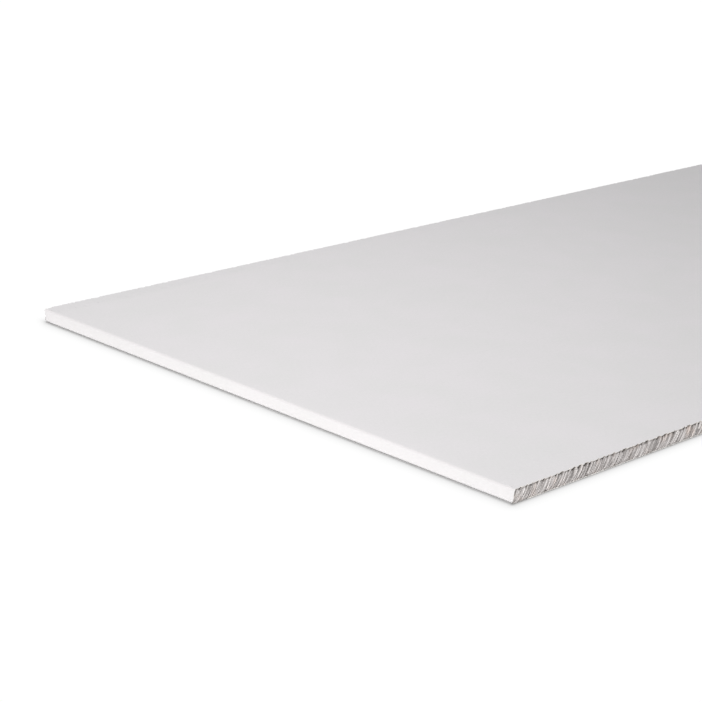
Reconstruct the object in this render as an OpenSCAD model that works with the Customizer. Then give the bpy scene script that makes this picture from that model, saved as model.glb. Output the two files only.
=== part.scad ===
// Gypsum ceiling tile: a set gypsum core cast between a face liner and a back liner of paper.
// The face liner folds round the two short edges and turns in under the back liner.
// The two long edges are sawn, so the core and the ends of both liners show there.
// The tile lies on its back, face up: X along the long edges, Y along the short ones, Z up.

/* [Tile] */
// Length of the two sawn edges
tile_l = 1195; // [295:5:2395]
// Length of the two paper wrapped edges
tile_w = 595; // [295:5:1195]
// Thickness over both liners
tile_t = 12.5; // [8:0.5:18]

/* [Face liner] */
// Thickness of the face liner
face_liner_t = 0.4; // [0.25:0.05:0.6]
// Outside radius of the folds along the wrapped edges
fold_r = 2; // [1:0.25:3]
// Width of the band of face liner that stays in sight on the back
back_band_w = 18; // [8:1:30]
// Width of the lap, where the back liner is glued over the face liner
lap_w = 16; // [6:1:30]

/* [Back liner] */
// Thickness of the back liner
back_liner_t = 0.35; // [0.25:0.05:0.6]

/* [Hidden] */
$fn = 64;
half_l = tile_l / 2;
// The back liner stops at the inner side of the band
back_liner_x = half_l - back_band_w;
// The turned in face liner ends at the inner side of the lap
turn_in_x = back_liner_x - lap_w;

// Rectangle from z = low to z = high, all four corners rounded, centred on X.
module rounded_section(length, low, high, r) {
    half = length / 2;
    translate([-half + r, low]) square([length - 2 * r, high - low]);
    translate([-half, low + r]) square([length, high - low - 2 * r]);
    for (side = [-1, 1], z = [low + r, high - r])
        translate([side * (half - r), z]) circle(r);
}

// The whole tile's section across the wrapped edges.
module tile_section() {
    rounded_section(tile_l, 0, tile_t, fold_r);
}

// Inner face of the folded liner, before it turns in over the lap.
module liner_inside_section() {
    rounded_section(tile_l - 2 * face_liner_t, face_liner_t, tile_t - face_liner_t,
                    fold_r - face_liner_t);
}

module back_liner_section() {
    translate([-back_liner_x, 0]) square([2 * back_liner_x, back_liner_t]);
}

// The liner steps up behind the back liner's edge and runs on over it.
module turn_in_section() {
    for (side = [0, 1]) mirror([side, 0]) {
        translate([back_liner_x, 0])
            square([face_liner_t, back_liner_t + face_liner_t]);
        translate([turn_in_x, back_liner_t])
            square([lap_w + face_liner_t, face_liner_t]);
    }
}

module face_liner_section() {
    difference() {
        tile_section();
        liner_inside_section();
        translate([-back_liner_x, 0]) square([2 * back_liner_x, face_liner_t]);
    }
    turn_in_section();
}

// The slurry fills all that the two liners leave.
module core_section() {
    difference() {
        tile_section();
        face_liner_section();
        back_liner_section();
    }
}

// Runs a section from one cut edge to the other.
module cut_to_width() {
    rotate([90, 0, 0]) linear_extrude(tile_w, center = true) children();
}

module gypsum_core() {
    color([0.80, 0.78, 0.76]) cut_to_width() core_section();
}

module face_liner() {
    color([0.93, 0.92, 0.92]) cut_to_width() face_liner_section();
}

module back_liner() {
    color([0.72, 0.68, 0.62]) cut_to_width() back_liner_section();
}

gypsum_core();
face_liner();
back_liner();
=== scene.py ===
import math
import bmesh
import bpy
import mathutils
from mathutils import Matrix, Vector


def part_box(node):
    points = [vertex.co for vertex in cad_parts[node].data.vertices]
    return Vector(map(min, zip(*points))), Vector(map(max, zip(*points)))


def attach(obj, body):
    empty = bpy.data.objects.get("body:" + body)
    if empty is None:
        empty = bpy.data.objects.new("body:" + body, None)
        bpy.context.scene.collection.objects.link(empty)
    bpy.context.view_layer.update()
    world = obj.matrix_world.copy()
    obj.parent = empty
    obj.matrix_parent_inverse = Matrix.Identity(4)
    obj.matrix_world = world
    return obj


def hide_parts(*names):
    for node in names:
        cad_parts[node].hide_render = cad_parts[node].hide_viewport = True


# A gypsum ceiling tile that lies face up: a sawn gypsum core between a face paper, which is
# folded round the two short edges, and a back paper, which laps over it.

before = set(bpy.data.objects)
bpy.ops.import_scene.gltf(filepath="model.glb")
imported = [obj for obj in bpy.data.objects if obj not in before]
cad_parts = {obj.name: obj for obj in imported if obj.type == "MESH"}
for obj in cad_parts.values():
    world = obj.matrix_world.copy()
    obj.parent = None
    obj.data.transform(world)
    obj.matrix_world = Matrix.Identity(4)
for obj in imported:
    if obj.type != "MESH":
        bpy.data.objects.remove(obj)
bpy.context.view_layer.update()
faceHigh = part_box("face_liner")[1]
coreLow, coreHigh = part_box("gypsum_core")
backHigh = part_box("back_liner")[1]

tile = {
    "halfLength": faceHigh.x,
    "halfWidth": faceHigh.y,
    "thickness": faceHigh.z,
    "facePaper": faceHigh.z - coreHigh.z,
    "backPaper": backHigh.z,
    "backHalfLength": backHigh.x,
    "foldRadius": 0.002,      # outside radius where the face paper turns an edge
    "lap": 0.016,             # how far the face paper runs on over the back paper
}
same = 0.00002      # places closer than this are one place
weld = 0.000005     # vertices closer than this are merged


# selecting and moving, as by hand

def pickOnly(piece):
    bpy.ops.object.select_all(action="DESELECT")
    piece.select_set(True)
    bpy.context.view_layer.objects.active = piece


def editOnly(piece):
    pickOnly(piece)
    bpy.ops.object.mode_set(mode="EDIT")
    bpy.ops.mesh.select_mode(type="EDGE")
    bpy.ops.mesh.select_all(action="DESELECT")


def pickEdges(piece, test):
    # selects the edges whose two ends both pass the test
    bpy.ops.mesh.select_all(action="DESELECT")
    work = bmesh.from_edit_mesh(piece.data)
    for edge in work.edges:
        if test(edge.verts[0].co) and test(edge.verts[1].co):
            edge.select_set(True)
    bmesh.update_edit_mesh(piece.data)


def pull(x, y, z):
    bpy.ops.mesh.extrude_region_move(TRANSFORM_OT_translate={"value": (x, y, z)})


def closeEdit():
    # welds, turns the faces outwards and leaves edit mode
    bpy.ops.mesh.select_all(action="SELECT")
    bpy.ops.mesh.remove_doubles(threshold=weld)
    bpy.ops.mesh.normals_make_consistent(inside=False)
    bpy.ops.object.mode_set(mode="OBJECT")


def applyAll(piece):
    pickOnly(piece)
    for modifier in list(piece.modifiers):
        bpy.ops.object.modifier_apply(modifier=modifier.name)


def named(name, scale):
    # names the new primitive, scales it and puts its place into its mesh; it is made two
    # across, so that the scale is half its size
    piece = bpy.context.object
    piece.name = name
    piece.data.name = name
    piece.scale = scale
    bpy.ops.object.transform_apply(location=True, rotation=True, scale=True)
    return piece


def flatSheet(name, halfX, halfY, height):
    bpy.ops.object.select_all(action="DESELECT")
    bpy.ops.mesh.primitive_plane_add(size=2, location=(0, 0, height))
    return named(name, (halfX, halfY, 1))


# rows and columns of vertices along the sawn edges of both papers, so that these can fray
sawnEdge = {
    "rowSteps": [0.008, 0.004, 0.0018, 0.0010, 0.0006],      # towards the edge
    "columnCuts": [11, 11, 17],      # 12 x 12 x 18 columns, just under 0.5 mm each
}


def addSawnEdges(piece, halfY):
    for side in (-1, 1):
        for cuts in sawnEdge["columnCuts"]:
            pickEdges(piece, lambda p: side * p.y > halfY - same)
            bpy.ops.mesh.subdivide(number_cuts=cuts, ngon=True)
        edge = halfY
        for step in sawnEdge["rowSteps"]:
            pickEdges(piece, lambda p: abs(p.y - side * edge) < same)
            pull(0, side * step, 0)
            edge += step


# Face paper: the flat face first, then a fold, the edge, a second fold and the turned-in lap
# at each end, and last the paper's own thickness.
facePaper = {
    "foldSteps": 6,
    "edgeSteps": 3,
    "lengthCuts": 99,       # 100 rows along a wrapped edge, under 6 mm each
    "frayReach": 0.009,     # how far in from the sawn edge the fraying dies out
    "tornDepth": 0.0016,    # of the teeth that the blade tore
    "fluffDepth": 0.0010,   # of the finer loose fibre
}


def makeFacePaper():
    r = tile["foldRadius"]
    top = tile["thickness"]
    flatX = tile["halfLength"] - r
    flatY = tile["halfWidth"] - sum(sawnEdge["rowSteps"])
    piece = flatSheet("facePaper", flatX, flatY, top)
    editOnly(piece)
    addSawnEdges(piece, flatY)
    for side in (-1, 1):
        pickEdges(piece, lambda p: abs(p.x - side * flatX) < same and abs(p.y) < flatY + same)
        bpy.ops.mesh.subdivide(number_cuts=facePaper["lengthCuts"], ngon=True)
        pickEdges(piece, lambda p: abs(p.x - side * flatX) < same)
        spinFold(side, flatX, top - r)
        for _ in range(facePaper["edgeSteps"]):
            pull(0, 0, -(top - 2 * r) / facePaper["edgeSteps"])
        spinFold(side, flatX, r)
        pull(-side * (flatX - tile["backHalfLength"]), 0, 0)
        pull(0, 0, tile["backPaper"])
        pull(-side * tile["lap"], 0, 0)
    closeEdit()
    wall = piece.modifiers.new("paper thickness", "SOLIDIFY")
    wall.thickness = tile["facePaper"]
    wall.offset = -1      # inwards
    wall.use_even_offset = True
    applyAll(piece)
    return piece


def spinFold(side, x, z):
    # a quarter turn round the fold's own centre line
    bpy.ops.mesh.spin(
        steps=facePaper["foldSteps"], angle=-side * math.pi / 2, use_auto_merge=False,
        center=(side * x, 0, z), axis=(0, 1, 0))


facePiece = makeFacePaper()
print("face paper", len(facePiece.data.polygons), "faces")


# Back paper: one flat sheet that stops short of the wrapped edges.
backPaper = {
    "frayReach": 0.009,
    "markShare": 0.5,       # how much of the saw marks' depth this end of the cut keeps
    "fluffDepth": 0.0010,
}


def makeBackPaper():
    flatY = tile["halfWidth"] - sum(sawnEdge["rowSteps"])
    piece = flatSheet("backPaper", tile["backHalfLength"], flatY, 0)
    editOnly(piece)
    addSawnEdges(piece, flatY)
    closeEdit()
    wall = piece.modifiers.new("paper thickness", "SOLIDIFY")
    wall.thickness = tile["backPaper"]
    wall.offset = 1      # upwards
    applyAll(piece)
    return piece


backPiece = makeBackPaper()
print("back paper", len(backPiece.data.polygons), "faces")


# Gypsum core: a fine upright grid for one sawn end, rounded where it meets the folds, then
# drawn out over the tile's width, so that the same grid closes the other end.
gypsumCore = {
    "columns": 2000,        # 0.6 mm each
    "rows": 22,             # 0.5 mm each
    "cornerSteps": 5,
    "cutReach": 0.001,      # only the two sawn ends are cut, not what lies behind them
}


def makeCore():
    r = tile["foldRadius"] - tile["facePaper"]
    flatX = coreHigh.x - r
    low, high = coreLow.z, coreHigh.z
    bpy.ops.object.select_all(action="DESELECT")
    bpy.ops.mesh.primitive_grid_add(
        x_subdivisions=gypsumCore["columns"], y_subdivisions=gypsumCore["rows"], size=2,
        location=(0, -tile["halfWidth"], (low + high) / 2), rotation=(math.pi / 2, 0, 0))
    piece = named("gypsumCore", (flatX, (high - low) / 2, 1))
    editOnly(piece)
    lapStart = tile["backHalfLength"] - tile["lap"]
    lapEnd = tile["backHalfLength"] + tile["facePaper"]
    liftFoot(piece, low, lapStart, lapEnd, tile["backPaper"] + tile["facePaper"] - low)
    liftFoot(piece, low, lapEnd, flatX, tile["facePaper"] - low)
    roundCorners(piece, r, flatX)
    bpy.ops.mesh.select_mode(type="FACE")
    bpy.ops.mesh.select_all(action="SELECT")
    pull(0, 2 * tile["halfWidth"], 0)
    closeEdit()
    return piece


def liftFoot(piece, low, start, end, lift):
    # the core gives way where the turned-in face paper lies under it
    bpy.ops.mesh.select_mode(type="VERT")
    bpy.ops.mesh.select_all(action="DESELECT")
    work = bmesh.from_edit_mesh(piece.data)
    for vert in work.verts:
        if abs(vert.co.z - low) < same and start - same < abs(vert.co.x) <= end + same:
            vert.select_set(True)
    bmesh.update_edit_mesh(piece.data)
    bpy.ops.transform.translate(value=(0, 0, lift))
    bpy.ops.mesh.select_mode(type="EDGE")


def roundCorners(piece, r, flatX):
    # carries the end column round the inside of both folds
    middle = (tile["facePaper"] + coreHigh.z) / 2
    half = coreHigh.z - middle
    for side in (-1, 1):
        x = flatX
        height = half
        for step in range(1, gypsumCore["cornerSteps"] + 1):
            turn = step / gypsumCore["cornerSteps"] * math.pi / 2
            nextX = flatX + r * math.sin(turn)
            nextHeight = half - r * (1 - math.cos(turn))
            pickEdges(piece, lambda p: abs(p.x - side * x) < same)
            pull(side * (nextX - x), 0, 0)
            bpy.ops.transform.resize(
                value=(1, 1, nextHeight / height),
                center_override=(side * nextX, -tile["halfWidth"], middle))
            x, height = nextX, nextHeight


corePiece = makeCore()
print("gypsum core", len(corePiece.data.polygons), "faces")


# Saw marks. A circular blade left them slanting and slightly bowed. The map sawRun lays the
# sawn ends out along the marks: u counts across them and v runs along them, pressed short, so
# that noise draws out into streaks.
sawCut = {
    "spacing": 0.0074,      # between the main marks
    "lean": 0.9,            # how far a mark leans at the foot, per height
    "bow": 21.0,            # going up, the lean drops by twice this per metre
    "pressed": 0.07,        # v against u
    "bandSize": 0.5,        # of the noise that makes the spacing wander
    "wander": 8,
    "markDepth": 0.0012,
    "markProfile": ((0, 0), (0.08, 0.30), (0.78, 0.50), (0.90, 1)),
    "streakDepth": 0.0013,
    "streakSize": 0.090,    # in u, about 2 mm across the marks
    "streakLayers": 2,      # of noise, each finer than the last
    "fineLayers": 1,        # for the grain and the crumbs
    "grainDepth": 0.00040,
    "grainSize": 0.0011,    # loose grains and pulled fibres
    "notchDepth": 0.0030,   # under the face paper
    "notchHeight": 0.0036,
    "notchProfile": ((0, 0), (0.3, 0.12), (0.6, 0.40), (0.8, 1)),
    "footDepth": 0.0008,    # crumbled off along the foot
    "footHeight": 0.0022,
    "cornerReach": 0.006,   # and round the lower corners
    "crumbSize": 0.002,
}
woodPeriod = math.pi / 10      # a wood texture's band repeats after this much u
sawnEnds = ((-1, "front"), (1, "back"))      # which way each faces along y, and its name


def layRun(piece):
    # the back end starts further along, so that the two ends differ
    layer = piece.data.uv_layers.new(name="sawRun")
    piece.data.uv_layers.active = layer
    perMetre = woodPeriod / sawCut["spacing"]
    spots = [vert.co for vert in piece.data.vertices]
    flat = []
    for loop in piece.data.loops:
        p = spots[loop.vertex_index]
        shift = (sawCut["lean"] - sawCut["bow"] * p.z) * p.z
        start = 2 * tile["halfLength"] if p.y > 0 else 0
        flat.extend((perMetre * (start + p.x - shift), perMetre * sawCut["pressed"] * p.z))
    layer.data.foreach_set("uv", flat)


def groupEnds(piece, reach):
    # End has full weight on the sawn edge and none at the reach. Notch is the same but only
    # near the face, and Foot only near the back and the lower corners.
    groups = {}
    for side, name in sawnEnds:
        for part in ("End", "Notch", "Foot"):
            groups[side, part] = piece.vertex_groups.new(name=name + part)
    for vert in piece.data.vertices:
        side = -1 if vert.co.y < 0 else 1
        weight = max(0.0, 1 - (tile["halfWidth"] - abs(vert.co.y)) / reach) ** 2
        if weight == 0:
            continue
        notch = max(0.0, 1 - (tile["thickness"] - vert.co.z) / sawCut["notchHeight"])
        corner = math.hypot(tile["halfLength"] - abs(vert.co.x), vert.co.z)
        foot = max(0.0, 1 - vert.co.z / sawCut["footHeight"], 1 - corner / sawCut["cornerReach"])
        for part, share in (("End", 1), ("Notch", notch), ("Foot", foot)):
            groups[side, part].add([vert.index], weight * share, "REPLACE")


def setStops(ramp, stops):
    # moves the ramp's stops to their positions and colours, adding those it lacks
    for index, (position, colour) in enumerate(stops):
        if index == len(ramp.elements):
            ramp.elements.new(position)
        ramp.elements[index].position = position
        ramp.elements[index].color = colour


def bandTexture(name, profile):
    # saw-tooth bands whose spacing wanders, with their depth drawn by the profile
    texture = bpy.data.textures.new(name, "WOOD")
    texture.wood_type = "BANDNOISE"
    texture.noise_basis_2 = "SAW"
    texture.noise_scale = sawCut["bandSize"]
    texture.turbulence = sawCut["wander"]
    texture.use_color_ramp = True
    setStops(texture.color_ramp, [(at, (depth, depth, depth, 1)) for at, depth in profile])
    return texture


def cloudTexture(name, size, layers):
    texture = bpy.data.textures.new(name, "CLOUDS")
    texture.noise_scale = size
    texture.noise_depth = layers
    return texture


def relief(piece, texture, depth, part, local=False):
    # pushes both sawn ends inwards by up to the depth
    for side, name in sawnEnds:
        push = piece.modifiers.new(texture.name + name + part, "DISPLACE")
        push.texture = texture
        push.texture_coords = "LOCAL" if local else "UV"
        push.uv_layer = "sawRun"
        push.direction = "Y"
        push.mid_level = 0
        push.strength = -side * depth
        push.vertex_group = name + part


sawMarks = bandTexture("sawMarks", sawCut["markProfile"])
sawNotches = bandTexture("sawNotches", sawCut["notchProfile"])
sawStreaks = cloudTexture("sawStreaks", sawCut["streakSize"], sawCut["streakLayers"])
sawGrain = cloudTexture("sawGrain", sawCut["grainSize"], sawCut["fineLayers"])
sawCrumbs = cloudTexture("sawCrumbs", sawCut["crumbSize"], sawCut["fineLayers"])

for piece, reach in (
        (corePiece, gypsumCore["cutReach"]),
        (facePiece, facePaper["frayReach"]),
        (backPiece, backPaper["frayReach"])):
    layRun(piece)
    groupEnds(piece, reach)

relief(corePiece, sawMarks, sawCut["markDepth"], "End")
relief(corePiece, sawStreaks, sawCut["streakDepth"], "End")
relief(corePiece, sawGrain, sawCut["grainDepth"], "End", local=True)
relief(corePiece, sawNotches, sawCut["notchDepth"], "Notch")
relief(facePiece, sawNotches, facePaper["tornDepth"], "End")
relief(facePiece, sawGrain, facePaper["fluffDepth"], "End", local=True)
relief(facePiece, sawMarks, sawCut["markDepth"], "Foot")      # as deep as the core beside it
relief(facePiece, sawStreaks, sawCut["streakDepth"], "Foot")
relief(backPiece, sawMarks, sawCut["markDepth"] * backPaper["markShare"], "End")
relief(backPiece, sawStreaks, sawCut["streakDepth"] * backPaper["markShare"], "End")
relief(backPiece, sawGrain, backPaper["fluffDepth"], "End", local=True)
for piece in (corePiece, facePiece, backPiece):
    relief(piece, sawCrumbs, sawCut["footDepth"], "Foot", local=True)
    applyAll(piece)
print("sawn ends cut")

paperSmooth = 32      # degrees: the folds are smooth, the paper's cut edge is sharp
for piece in (facePiece, backPiece):      # the core stays faceted, as crumbly as it is cut
    pickOnly(piece)
    bpy.ops.object.shade_smooth_by_angle(angle=math.radians(paperSmooth))


# materials

def toLinear(hexColour):
    # sRGB hex to the linear colour that a shader takes
    parts = [int(hexColour[i:i + 2], 16) / 255 for i in (1, 3, 5)]
    return tuple(p / 12.92 if p <= 0.04045 else ((p + 0.055) / 1.055) ** 2.4
                 for p in parts) + (1,)


def addNode(owner, kind, values=None, links=None, stops=None, **settings):
    # one node with its settings, the values and links of its sockets, and its colour stops;
    # the owner is a material or the world
    tree = owner.node_tree
    node = tree.nodes.new(kind)
    for name, value in settings.items():
        setattr(node, name, value)
    for name, value in (values or {}).items():
        node.inputs[name].default_value = toLinear(value) if isinstance(value, str) else value
    for name, source in (links or {}).items():
        tree.links.new(source, node.inputs[name])
    if stops:
        setStops(node.color_ramp, [(at, toLinear(colour)) for at, colour in stops])
    return node


def newMaterial(name):
    material = bpy.data.materials.new(name)
    material.use_nodes = True
    material.node_tree.nodes.clear()
    return material


def perSize(width, length=None):
    # the Mapping scale that makes one pattern cell this wide, and this long along y, in metres
    return 1 / width, 1 / (length or width), 1 / width


mixSocket = {"share": 0, "first": 6, "second": 7, "result": 2}      # of a colour mix


def mattSurface(material, look, colour, height):
    # the shader that all three finishes end in, with its bump and output
    bump = addNode(material, "ShaderNodeBump", {"Distance": look["bump"]}, {"Height": height})
    surface = addNode(
        material, "ShaderNodeBsdfPrincipled",
        {"Roughness": look["roughness"], "IOR": look["ior"], "Specular IOR Level": look["gloss"]},
        {"Base Color": colour, "Normal": bump.outputs["Normal"]})
    addNode(material, "ShaderNodeOutputMaterial", links={"Surface": surface.outputs[0]})
    return material


facePaperLook = {
    "white": "#EBE9EB",
    "grey": "#E9E8E9",
    "cloudSize": 0.045,       # real formation of the sheet, 3 to 5 cm
    "cloudDetail": 4.0,
    "cloudShades": (0.35, 0.65),
    "fibreWidth": 0.0005,     # real fibres are 0.03 mm wide, drawn coarser so that they show
    "fibreLength": 0.004,
    "fibreDetail": 3.0,
    "fibreShadow": "#FAFAFA",
    "fibreShades": (0.3, 0.6),
    "scuff": "#F0EFEF",       # painted shade: greys the folds a little
    "foldShare": 2.0,         # full tint half way round a fold
    "edgeTint": "#FFFFFE",    # painted light: a trace of yellow on the faces turned sideways, the wrapped edges
    "cutPly": "#D6D1CB",      # grey plies inside the sheet, bare on the sawn edge
    "cutFacing": 0.2,         # faces that point this much along y are sawn
    "bump": 0.00004,
    "roughness": 0.78,
    "ior": 1.5,
    "gloss": 0.3,             # pores break up most of the sheen
}


# calendered board paper: dense, smooth and matt, with a very faint cloudiness and fibres that
# run with the board, along the wrapped edges
def facePaperMaterial():
    look = facePaperLook
    material = newMaterial("calenderedFacePaper")
    place = addNode(material, "ShaderNodeTexCoord")
    fibrePlace = addNode(
        material, "ShaderNodeMapping",
        {"Scale": perSize(look["fibreWidth"], look["fibreLength"])},
        {"Vector": place.outputs["Object"]})
    fibres = addNode(
        material, "ShaderNodeTexNoise", {"Scale": 1.0, "Detail": look["fibreDetail"]},
        {"Vector": fibrePlace.outputs["Vector"]})
    cloudPlace = addNode(
        material, "ShaderNodeMapping", {"Scale": perSize(look["cloudSize"])},
        {"Vector": place.outputs["Object"]})
    clouds = addNode(
        material, "ShaderNodeTexNoise", {"Scale": 1.0, "Detail": look["cloudDetail"]},
        {"Vector": cloudPlace.outputs["Vector"]})
    cloudTone = addNode(
        material, "ShaderNodeValToRGB", links={"Fac": clouds.outputs[0]},
        stops=zip(look["cloudShades"], (look["grey"], look["white"])))
    fibreTone = addNode(
        material, "ShaderNodeValToRGB", links={"Fac": fibres.outputs[0]},
        stops=zip(look["fibreShades"], (look["fibreShadow"], "#FFFFFF")))
    sheet = addNode(
        material, "ShaderNodeMix", {mixSocket["share"]: 1.0},
        {mixSocket["first"]: cloudTone.outputs[0], mixSocket["second"]: fibreTone.outputs[0]},
        data_type="RGBA", blend_type="MULTIPLY")
    facing = addNode(
        material, "ShaderNodeSeparateXYZ", links={"Vector": place.outputs["Normal"]})
    sideways = addNode(
        material, "ShaderNodeMath", links={0: facing.outputs["X"]}, operation="ABSOLUTE")
    turning = addNode(
        material, "ShaderNodeMath", links={0: sideways.outputs[0], 1: facing.outputs["Z"]},
        operation="MULTIPLY")
    fold = addNode(
        material, "ShaderNodeMath", {1: look["foldShare"]}, {0: turning.outputs[0]},
        operation="MULTIPLY", use_clamp=True)
    # painted shade that greys the folds a little
    foldShaded = addNode(
        material, "ShaderNodeMix", {mixSocket["second"]: look["scuff"]},
        {mixSocket["share"]: fold.outputs[0],
         mixSocket["first"]: sheet.outputs[mixSocket["result"]]},
        data_type="RGBA", blend_type="MULTIPLY")
    # painted light: a trace of yellow on the faces turned sideways
    sideLightTinted = addNode(
        material, "ShaderNodeMix", {mixSocket["second"]: look["edgeTint"]},
        {mixSocket["share"]: sideways.outputs[0],
         mixSocket["first"]: foldShaded.outputs[mixSocket["result"]]},
        data_type="RGBA", blend_type="MULTIPLY")
    endways = addNode(
        material, "ShaderNodeMath", links={0: facing.outputs["Y"]}, operation="ABSOLUTE")
    sawn = addNode(
        material, "ShaderNodeMath", {1: look["cutFacing"]}, {0: endways.outputs[0]},
        operation="GREATER_THAN")
    colour = addNode(
        material, "ShaderNodeMix", {mixSocket["second"]: look["cutPly"]},
        {mixSocket["share"]: sawn.outputs[0],
         mixSocket["first"]: sideLightTinted.outputs[mixSocket["result"]]},
        data_type="RGBA")
    return mattSurface(material, look, colour.outputs[mixSocket["result"]], fibres.outputs[0])


backPaperLook = {
    "light": "#BDB5A8",
    "dark": "#A79E90",
    "hair": "#8B8276",        # single dark fibres
    "fibreWidth": 0.0007,     # real fibres are 0.03 mm wide, drawn coarser so that they show
    "fibreLength": 0.005,
    "fibreDetail": 4.0,
    "fibreShades": (0.22, 0.32, 0.70),
    "fleck": "#7F776C",       # scraps of old print and board
    "fleckSize": 0.0032,      # a cell; real flecks are 0.3 to 2 mm long
    "fleckDetail": 3.0,
    "fleckWarp": 0.8,
    "fleckShades": (0.66, 0.72),
    "cutPly": "#E6E4E1",      # cut edge, full of gypsum dust
    "underFacing": -0.5,      # only faces that point down more than this are clean paper
    "bump": 0.00008,
    "roughness": 0.85,
    "ior": 1.5,
    "gloss": 0.25,
}


# recycled back paper: duller and rougher, warm grey, with darker hairs and flecks of old fibre
def backPaperMaterial():
    look = backPaperLook
    material = newMaterial("recycledBackPaper")
    place = addNode(material, "ShaderNodeTexCoord")
    fibrePlace = addNode(
        material, "ShaderNodeMapping",
        {"Scale": perSize(look["fibreWidth"], look["fibreLength"])},
        {"Vector": place.outputs["Object"]})
    fibres = addNode(
        material, "ShaderNodeTexNoise", {"Scale": 1.0, "Detail": look["fibreDetail"]},
        {"Vector": fibrePlace.outputs["Vector"]})
    fibreTone = addNode(
        material, "ShaderNodeValToRGB", links={"Fac": fibres.outputs[0]},
        stops=zip(look["fibreShades"], (look["hair"], look["dark"], look["light"])))
    fleckPlace = addNode(
        material, "ShaderNodeMapping", {"Scale": perSize(look["fleckSize"])},
        {"Vector": place.outputs["Object"]})
    flecks = addNode(
        material, "ShaderNodeTexNoise",
        {"Scale": 1.0, "Detail": look["fleckDetail"], "Distortion": look["fleckWarp"]},
        {"Vector": fleckPlace.outputs["Vector"]})
    fleckShare = addNode(
        material, "ShaderNodeMapRange",
        dict(zip(("From Min", "From Max"), look["fleckShades"])),
        {"Value": flecks.outputs[0]})
    sheet = addNode(
        material, "ShaderNodeMix", {mixSocket["second"]: look["fleck"]},
        {mixSocket["share"]: fleckShare.outputs[0], mixSocket["first"]: fibreTone.outputs[0]},
        data_type="RGBA")
    facing = addNode(
        material, "ShaderNodeSeparateXYZ", links={"Vector": place.outputs["Normal"]})
    dusty = addNode(
        material, "ShaderNodeMath", {1: look["underFacing"]}, {0: facing.outputs["Z"]},
        operation="GREATER_THAN")
    colour = addNode(
        material, "ShaderNodeMix", {mixSocket["second"]: look["cutPly"]},
        {mixSocket["share"]: dusty.outputs[0],
         mixSocket["first"]: sheet.outputs[mixSocket["result"]]},
        data_type="RGBA")
    return mattSurface(material, look, colour.outputs[mixSocket["result"]], fibres.outputs[0])


gypsumLook = {
    # by depth below the sawn plane: ridges pale with dust and a painted highlight, hollows
    # darkened by painted shade
    "ridge": "#FFFCF8",
    "face": "#DEDAD9",
    "hollow": "#7E7976",
    "ridgeDepth": 0.00050,      # below the sawn plane: how deep the pale ridges reach,
    "faceDepth": 0.00120,       # where the plain face starts
    "hollowDepth": 0.0027,      # and where the painted shade in the hollows is at its darkest
    "warm": "#DACCC4",          # patches of mineral colour in the rock
    "patchSize": 0.014,
    "patchDetail": 2.0,
    "patchShades": (0.5, 0.68),
    "patchShare": 0.55,
    "streakTone": "#807D7B",
    "streakWidth": 0.0016,
    "streakDetail": 2.0,
    "streakShades": (0.36, 0.56),
    "streakHeights": (0.0075, 0.0025),      # from here down the streaks get stronger
    "streakShares": (0.80, 0.95),
    "speck": "#857C76",
    "grainSize": 0.0011,        # real foam pores are 0.1 to 1 mm wide
    "grainDetail": 3.0,
    "speckShades": (0.62, 0.70),
    "speckShare": 0.6,
    "bump": 0.0004,
    "roughness": 0.95,
    "ior": 1.52,
    "gloss": 0.2,
}
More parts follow.
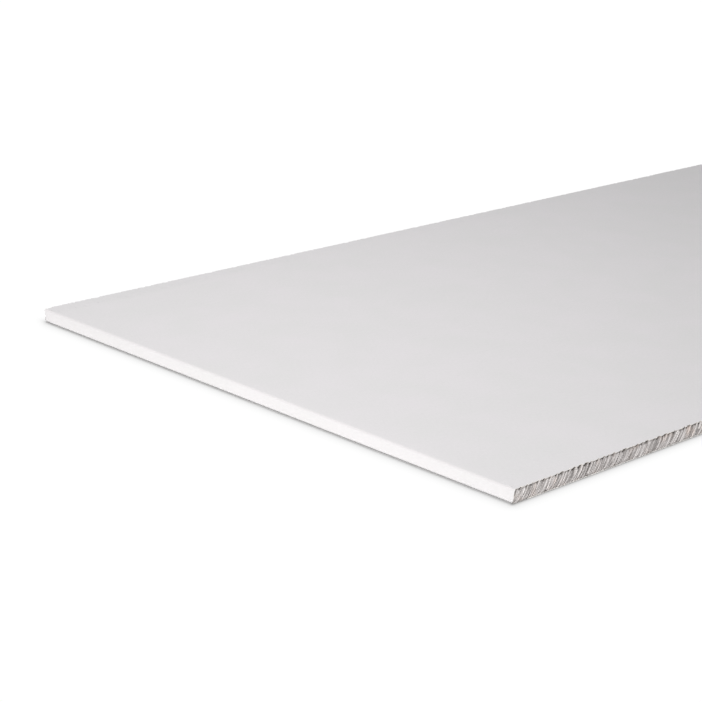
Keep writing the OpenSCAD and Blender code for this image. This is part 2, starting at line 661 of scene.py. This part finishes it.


# foamed gypsum, sawn: chalky and dead matt. The high ridges are pale with dust and a painted
# highlight, and the hollows are darkened with depth by painted shade.
def gypsumMaterial():
    look = gypsumLook
    material = newMaterial("sawnGypsum")
    place = addNode(material, "ShaderNodeTexCoord")
    spot = addNode(
        material, "ShaderNodeSeparateXYZ", links={"Vector": place.outputs["Object"]})
    outward = addNode(
        material, "ShaderNodeMath", links={0: spot.outputs["Y"]}, operation="ABSOLUTE")
    depth = addNode(
        material, "ShaderNodeMath", {0: tile["halfWidth"]}, {1: outward.outputs[0]},
        operation="SUBTRACT")
    deepness = addNode(
        material, "ShaderNodeMath", {1: look["hollowDepth"]}, {0: depth.outputs[0]},
        operation="DIVIDE")
    # painted highlight on the ridges and painted shade in the hollows, by depth below the sawn
    # plane
    dustAndShadeByDepth = addNode(
        material, "ShaderNodeValToRGB", links={"Fac": deepness.outputs[0]},
        stops=((look["ridgeDepth"] / look["hollowDepth"], look["ridge"]),
               (look["faceDepth"] / look["hollowDepth"], look["face"]),
               (1, look["hollow"])))
    patchPlace = addNode(
        material, "ShaderNodeMapping", {"Scale": perSize(look["patchSize"])},
        {"Vector": place.outputs["Object"]})
    patches = addNode(
        material, "ShaderNodeTexNoise", {"Scale": 1.0, "Detail": look["patchDetail"]},
        {"Vector": patchPlace.outputs["Vector"]})
    warmth = addNode(
        material, "ShaderNodeMapRange",
        {"From Min": look["patchShades"][0], "From Max": look["patchShades"][1],
         "To Max": look["patchShare"]},
        {"Value": patches.outputs[0]})
    patched = addNode(
        material, "ShaderNodeMix", {mixSocket["second"]: look["warm"]},
        {mixSocket["share"]: warmth.outputs[0], mixSocket["first"]: dustAndShadeByDepth.outputs[0]},
        data_type="RGBA")
    run = addNode(material, "ShaderNodeUVMap", uv_map="sawRun")
    streaks = addNode(
        material, "ShaderNodeTexNoise",
        {"Scale": sawCut["spacing"] / (woodPeriod * look["streakWidth"]),
         "Detail": look["streakDetail"]},
        {"Vector": run.outputs["UV"]})
    streakTone = addNode(
        material, "ShaderNodeValToRGB", links={"Fac": streaks.outputs[0]},
        stops=zip(look["streakShades"], (look["streakTone"], "#FFFFFF")))
    strength = addNode(
        material, "ShaderNodeMapRange",
        {"From Min": look["streakHeights"][0], "From Max": look["streakHeights"][1],
         "To Min": look["streakShares"][0], "To Max": look["streakShares"][1]},
        {"Value": spot.outputs["Z"]})
    streaked = addNode(
        material, "ShaderNodeMix",
        links={mixSocket["share"]: strength.outputs[0],
               mixSocket["first"]: patched.outputs[mixSocket["result"]],
               mixSocket["second"]: streakTone.outputs[0]},
        data_type="RGBA", blend_type="MULTIPLY")
    grainPlace = addNode(
        material, "ShaderNodeMapping", {"Scale": perSize(look["grainSize"])},
        {"Vector": place.outputs["Object"]})
    grain = addNode(
        material, "ShaderNodeTexNoise", {"Scale": 1.0, "Detail": look["grainDetail"]},
        {"Vector": grainPlace.outputs["Vector"]})
    specks = addNode(
        material, "ShaderNodeMapRange",
        {"From Min": look["speckShades"][0], "From Max": look["speckShades"][1],
         "To Max": look["speckShare"]},
        {"Value": grain.outputs[0]})
    colour = addNode(
        material, "ShaderNodeMix", {mixSocket["second"]: look["speck"]},
        {mixSocket["share"]: specks.outputs[0],
         mixSocket["first"]: streaked.outputs[mixSocket["result"]]},
        data_type="RGBA")
    return mattSurface(material, look, colour.outputs[mixSocket["result"]], grain.outputs[0])


for piece, material, node, slot in (
        (facePiece, facePaperMaterial(), "face_liner", "face_paper"),
        (backPiece, backPaperMaterial(), "back_liner", "back_paper"),
        (corePiece, gypsumMaterial(), "gypsum_core", "gypsum")):
    piece.data.materials.clear()
    piece.data.materials.append(material)
    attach(piece, "root")
    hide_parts(node)
print("materials on")


# Floor and light. The floor is pale and takes the tile's shadow. For the camera and for
# reflections only, it is lifted to the plain white of the backdrop, not at all at the tile's
# foot and fully a little way off.
backdropWhite = 1.02      # a little over plain white, so that dither can't grey it
floorLook = {
    "radius": 8.0,
    "corners": 96,
    "gap": 0.0001,         # below the tile's back, so that the two share no plane
    "albedo": "#E6E6E6",
    "seen": "#AEAEAE",     # duller for the camera, which deepens the contact shadow
    "lifted": 0.05,        # metres that the lift's distances below are shares of
    "sides": {             # how far out the lift starts, and its pace away from there
        ("X", -1): (0.0001, 1.05),
        ("X", 1): (0.0001, 1.05),
        ("Y", -1): (-0.0018, 1.2),
        ("Y", 1): (-0.0050, 1.0),
    },
    # the lift paints the contact shadow: near the tile the floor stays darker by its distance
    # alone, on top of the real shadow
    "lift": (              # distance and lift, as shares, between (0, 0) and (1, 1)
        (0.02, 0.09), (0.04, 0.31), (0.06, 0.50), (0.085, 0.645), (0.12, 0.765),
        (0.16, 0.835), (0.22, 0.907), (0.30, 0.95), (0.40, 0.98), (0.50, 1.0)),
}


def seenRays(owner):
    # 1 for the camera and for what shows in gloss or through glass, 0 for light on the tile
    rays = addNode(owner, "ShaderNodeLightPath")
    seen = rays.outputs["Is Camera Ray"]
    for kind in ("Is Glossy Ray", "Is Transmission Ray"):
        either = addNode(
            owner, "ShaderNodeMath", links={0: seen, 1: rays.outputs[kind]},
            operation="MAXIMUM")
        seen = either.outputs[0]
    return seen


def floorMaterial():
    material = newMaterial("paleFloor")
    place = addNode(material, "ShaderNodeTexCoord")
    spot = addNode(
        material, "ShaderNodeSeparateXYZ", links={"Vector": place.outputs["Object"]})
    past = {}
    for (axis, sign), (start, pace) in floorLook["sides"].items():
        half = tile["halfLength"] if axis == "X" else tile["halfWidth"]
        where = spot.outputs[axis]
        if (axis, sign) == ("Y", 1):
            # mitred: the painted shadow along the wrapped edge ends along the far corner's
            # diagonal
            mitred = addNode(
                material, "ShaderNodeMath", links={0: where, 1: past["X", -1].outputs[0]},
                operation="ADD")
            where = mitred.outputs[0]
        past[axis, sign] = addNode(
            material, "ShaderNodeMath", {1: sign * pace, 2: -(half + start) * pace}, {0: where},
            operation="MULTIPLY_ADD", use_clamp=True)
    outX = addNode(
        material, "ShaderNodeMath",
        links={0: past["X", -1].outputs[0], 1: past["X", 1].outputs[0]}, operation="ADD")
    outY = addNode(
        material, "ShaderNodeMath",
        links={0: past["Y", -1].outputs[0], 1: past["Y", 1].outputs[0]}, operation="ADD")
    out = addNode(
        material, "ShaderNodeCombineXYZ", links={"X": outX.outputs[0], "Y": outY.outputs[0]})
    distance = addNode(
        material, "ShaderNodeVectorMath", links={0: out.outputs[0]}, operation="LENGTH")
    share = addNode(
        material, "ShaderNodeMath", {1: floorLook["lifted"]}, {0: distance.outputs["Value"]},
        operation="DIVIDE", use_clamp=True)
    # painted contact shadow, by distance from the tile
    lift = addNode(material, "ShaderNodeFloatCurve", links={"Value": share.outputs[0]})
    for position, height in floorLook["lift"]:
        lift.mapping.curves[0].points.new(position, height)
    lift.mapping.update()
    seen = seenRays(material)
    lifted = addNode(
        material, "ShaderNodeMath", links={0: lift.outputs[0], 1: seen}, operation="MULTIPLY")
    colour = addNode(
        material, "ShaderNodeMix",
        {mixSocket["first"]: floorLook["albedo"], mixSocket["second"]: floorLook["seen"]},
        {mixSocket["share"]: seen}, data_type="RGBA")
    matt = addNode(
        material, "ShaderNodeBsdfDiffuse", links={"Color": colour.outputs[mixSocket["result"]]})
    white = addNode(
        material, "ShaderNodeEmission", {"Color": "#FFFFFF", "Strength": backdropWhite})
    both = addNode(
        material, "ShaderNodeMixShader",
        links={0: lifted.outputs[0], 1: matt.outputs[0], 2: white.outputs[0]})
    addNode(material, "ShaderNodeOutputMaterial", links={"Surface": both.outputs[0]})
    return material


bpy.ops.object.select_all(action="DESELECT")
bpy.ops.mesh.primitive_circle_add(
    vertices=floorLook["corners"], radius=floorLook["radius"], fill_type="NGON",
    location=(0, 0, -floorLook["gap"]))
floor = bpy.context.object
floor.name = "floor"
floor.data.materials.append(floorMaterial())

lightSetup = {
    "sky": 0.30,
    "keyPlace": (-2.77, -1.785, 2.25),
    "keyAim": (-0.22, 0.345, 0.0),
    "keySize": 0.8,
    "keySpread": 52.2,       # degrees, as a soft box with a grid
    "keyPower": 11.6,        # watts
    "keyColour": (1.0, 0.99, 0.985),      # linear, a touch warm
}


def makeWorld():
    # white where it is seen, and only the sky's own level as light
    world = bpy.data.worlds.new("studio")
    bpy.context.scene.world = world
    world.use_nodes = True
    world.node_tree.nodes.clear()
    strength = addNode(
        world, "ShaderNodeMapRange", {"To Min": lightSetup["sky"], "To Max": backdropWhite},
        {"Value": seenRays(world)})
    sky = addNode(
        world, "ShaderNodeBackground", {"Color": "#FFFFFF"}, {"Strength": strength.outputs[0]})
    addNode(world, "ShaderNodeOutputWorld", links={"Surface": sky.outputs[0]})


def makeKeyLamp():
    lamp = bpy.data.lights.new("key", "AREA")
    lamp.shape = "DISK"
    lamp.size = lightSetup["keySize"]
    lamp.energy = lightSetup["keyPower"]
    lamp.color = lightSetup["keyColour"]
    lamp.spread = math.radians(lightSetup["keySpread"])
    key = bpy.data.objects.new("key", lamp)
    bpy.context.scene.collection.objects.link(key)
    key.location = lightSetup["keyPlace"]
    beam = mathutils.Vector(lightSetup["keyAim"]) - key.location
    key.rotation_euler = beam.to_track_quat("-Z", "Y").to_euler()


makeWorld()
makeKeyLamp()

# The camera stands off the front corner, where a wrapped and a sawn edge meet. Its distances
# are counted in widths of the tile.
cameraSetup = {
    "ahead": 2.4610,       # from the camera to the corner, along its level line of sight
    "right": 0.2201,       # how far the corner lies right of that line
    "above": 0.9818,       # above the tile's face
    "heading": 45.95,      # degrees clockwise from +Y
    "tiltDown": 18.08,
    "roll": 2.58,
    "lens": 104.96,        # mm, as is the sensor's width
    "sensor": 36,
}


def makeCamera():
    lens = bpy.data.cameras.new("camera")
    lens.lens = cameraSetup["lens"]
    lens.sensor_width = cameraSetup["sensor"]
    camera = bpy.data.objects.new("camera", lens)
    bpy.context.scene.collection.objects.link(camera)
    heading = math.radians(cameraSetup["heading"])
    ahead = mathutils.Vector((math.sin(heading), math.cos(heading), 0))
    right = mathutils.Vector((math.cos(heading), -math.sin(heading), 0))
    corner = mathutils.Vector((-tile["halfLength"], -tile["halfWidth"], tile["thickness"]))
    away = cameraSetup["ahead"] * ahead + cameraSetup["right"] * right
    away.z = -cameraSetup["above"]
    camera.location = corner - 2 * tile["halfWidth"] * away
    turn = mathutils.Matrix.Identity(3)
    for angle, axis in (
            (-cameraSetup["heading"], "Z"),
            (90 - cameraSetup["tiltDown"], "X"),
            (cameraSetup["roll"], "Z")):
        turn = turn @ mathutils.Matrix.Rotation(math.radians(angle), 3, axis)
    camera.rotation_euler = turn.to_euler()
    bpy.context.scene.camera = camera


makeCamera()
bpy.context.scene.view_settings.view_transform = "Standard"
print("stage set")
